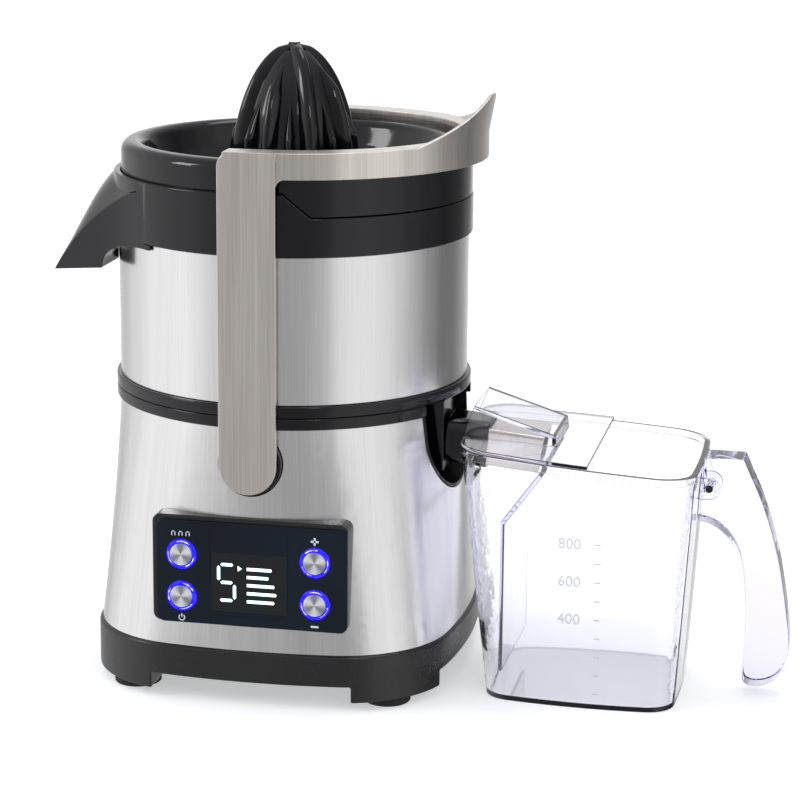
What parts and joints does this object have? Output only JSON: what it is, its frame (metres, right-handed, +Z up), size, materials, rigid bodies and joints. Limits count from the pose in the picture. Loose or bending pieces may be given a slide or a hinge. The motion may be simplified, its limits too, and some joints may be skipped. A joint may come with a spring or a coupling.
{
  "type": "citrus press juicer",
  "caption": "Countertop juicer with motor base, steel juice bowl, citrus reamer, pulp chute, locking bail arm and a clear lidded pitcher under its outlet.",
  "frame": {"origin": "on the worktop, under the machine's vertical axis", "axes": "+X towards the juice outlet and its pitcher, -Y towards the control panel's side, +Z up"},
  "size_m": [0.4167, 0.212, 0.35],
  "materials": {
    "brushed_steel": "brushed, upright grain",
    "nickel": "brushed, warm nickel tone",
    "black_gloss": "glossy black",
    "black_satin": "satin black",
    "pan_grey": "satin dark grey",
    "rubber": "soft black",
    "plain_steel": "turned",
    "motor_iron": "laminated",
    "board_green": "solder mask",
    "button_aluminium": "spun",
    "light_blue": "lit blue",
    "gear_nylon": "natural nylon",
    "clear": "clear with a violet tint"
  },
  "bodies": {
    "base": {"base_pan": "pan_grey", "bottom_cover": "pan_grey", "foot_front_left": "rubber", "foot_front_right": "rubber", "foot_rear_right": "rubber", "foot_rear_left": "rubber", "base_screws": "plain_steel", "body_shell": "brushed_steel", "outlet_recess": "black_satin", "cord_inlet": "black_satin", "top_deck": "black_gloss", "chassis": "pan_grey", "motor_mounts": "rubber", "motor_bracket_lower": "plain_steel", "motor_bracket_upper": "plain_steel", "motor_stator": "motor_iron", "lower_bearing": "plain_steel", "upper_bearing": "plain_steel", "shaft_seal": "rubber", "panel_housing": "pan_grey", "panel_lens": "black_gloss", "display_module": "black_satin", "light_rings": "light_blue", "control_board": "board_green", "power_board": "board_green", "juice_bowl": "black_gloss", "bowl_sleeve": "brushed_steel", "bowl_seal": "rubber", "bowl_bush": "gear_nylon", "outlet_tube": "black_gloss", "outlet_spout": "brushed_steel", "gear_case": "black_satin", "pulp_collector": "black_gloss", "citrus_bowl": "black_gloss", "strainer": "plain_steel", "pivot_hubs": "black_gloss"},
    "arm": {"locking_arm": "nickel", "arm_liners": "black_satin", "pivot_pins": "plain_steel"},
    "rotor": {"motor_rotor": "motor_iron", "motor_shaft": "plain_steel", "cooling_fan": "black_satin", "drive_coupling": "plain_steel", "drive_shaft": "plain_steel", "sun_gear": "plain_steel"},
    "planet_1": {"planet_gear_1": "gear_nylon"},
    "planet_2": {"planet_gear_2": "gear_nylon"},
    "planet_3": {"planet_gear_3": "gear_nylon"},
    "spindle_body": {"ring_gear": "gear_nylon", "spindle": "gear_nylon"},
    "reamer_body": {"reamer": "black_gloss"},
    "pulse_button": {"button_pulse": "button_aluminium"},
    "power_button": {"button_power": "button_aluminium"},
    "plus_button": {"button_plus": "button_aluminium"},
    "minus_button": {"button_minus": "button_aluminium"},
    "pitcher": {"pitcher_body": "clear", "froth_separator": "clear", "pitcher_handle": "clear", "handle_pin": "plain_steel"},
    "lid": {"pitcher_lid": "clear"}
  },
  "joints": [
    {"name": "arm_hinge", "type": "hinge", "parent": "base", "child": "arm", "pos_m": [0, 0, 0.135], "axis": [0, 1, 0], "range_deg": [0, 45]},
    {"name": "motor_spin", "type": "hinge", "parent": "base", "child": "rotor", "pos_m": [0, 0, 0.1], "axis": [0, 0, 1], "continuous": true},
    {"name": "planet_spin_1", "type": "hinge", "parent": "base", "child": "planet_1", "pos_m": [0.009, 0.01559, 0.247], "axis": [0, 0, 1], "continuous": true},
    {"name": "planet_spin_2", "type": "hinge", "parent": "base", "child": "planet_2", "pos_m": [-0.018, 0, 0.247], "axis": [0, 0, 1], "continuous": true},
    {"name": "planet_spin_3", "type": "hinge", "parent": "base", "child": "planet_3", "pos_m": [0.009, -0.01559, 0.247], "axis": [0, 0, 1], "continuous": true},
    {"name": "spindle_spin", "type": "hinge", "parent": "base", "child": "spindle_body", "pos_m": [0, 0, 0.25], "axis": [0, 0, 1], "continuous": true},
    {"name": "reamer_lift", "type": "slide", "parent": "spindle_body", "child": "reamer_body", "axis": [0, 0, 1], "range_m": [0, 0.05]},
    {"name": "pulse_press", "type": "slide", "parent": "base", "child": "pulse_button", "axis": [0, 1, 0], "range_m": [0, 0.0015], "stiffness_N_per_m": 300},
    {"name": "power_press", "type": "slide", "parent": "base", "child": "power_button", "axis": [0, 1, 0], "range_m": [0, 0.0015], "stiffness_N_per_m": 300},
    {"name": "plus_press", "type": "slide", "parent": "base", "child": "plus_button", "axis": [0, 1, 0], "range_m": [0, 0.0015], "stiffness_N_per_m": 300},
    {"name": "minus_press", "type": "slide", "parent": "base", "child": "minus_button", "axis": [0, 1, 0], "range_m": [0, 0.0015], "stiffness_N_per_m": 300},
    {"name": "pitcher_slide", "type": "slide", "parent": "base", "child": "pitcher", "axis": [1, 0, 0], "range_m": [0, 0.15]},
    {"name": "lid_lift", "type": "slide", "parent": "pitcher", "child": "lid", "axis": [0, 0, 1], "range_m": [0, 0.03]}
  ],
  "couplings": [
    {"joint": "planet_spin_1", "follows": "motor_spin", "ratio": -0.5},
    {"joint": "planet_spin_2", "follows": "motor_spin", "ratio": -0.5},
    {"joint": "planet_spin_3", "follows": "motor_spin", "ratio": -0.5},
    {"joint": "spindle_spin", "follows": "motor_spin", "ratio": -0.2}
  ]
}
